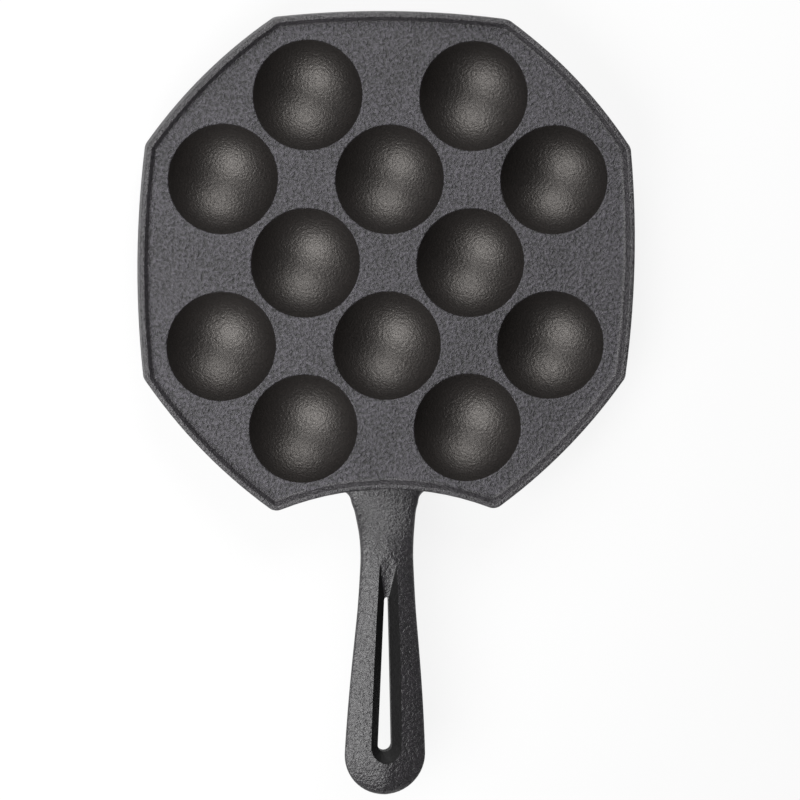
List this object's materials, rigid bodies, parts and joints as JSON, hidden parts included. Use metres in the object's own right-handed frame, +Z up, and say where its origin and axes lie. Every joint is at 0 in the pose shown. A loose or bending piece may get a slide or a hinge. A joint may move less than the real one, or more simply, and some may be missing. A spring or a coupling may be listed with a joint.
{
  "type": "takoyaki pan",
  "caption": "Cast-iron takoyaki pan: an octagonal plate with a raised rim, hemispherical cups and a cast-on handle with a long hanging slot.",
  "frame": {"origin": "bottom centre of the whole pan's box, on the surface that the cups' feet stand on", "axes": "+Z up, out of the cups; the handle points to -Y; X across the pan"},
  "size_m": [0.1828, 0.2874, 0.0361],
  "materials": {
    "cast_deck": "fine sand-cast, seasoned black, satin",
    "machined_cups": "smooth bored cups, seasoned black, satin",
    "cast_handle": "coarser sand-cast, seasoned black, satin"
  },
  "bodies": {
    "root": {"cooking_plate": "cast_deck", "rim": "cast_deck", "cup_01": "machined_cups", "cup_02": "machined_cups", "cup_03": "machined_cups", "cup_04": "machined_cups", "cup_05": "machined_cups", "cup_06": "machined_cups", "cup_07": "machined_cups", "cup_08": "machined_cups", "cup_09": "machined_cups", "cup_10": "machined_cups", "cup_11": "machined_cups", "cup_12": "machined_cups", "handle_neck": "cast_handle", "handle_grip": "cast_handle"}
  },
  "joints": []
}
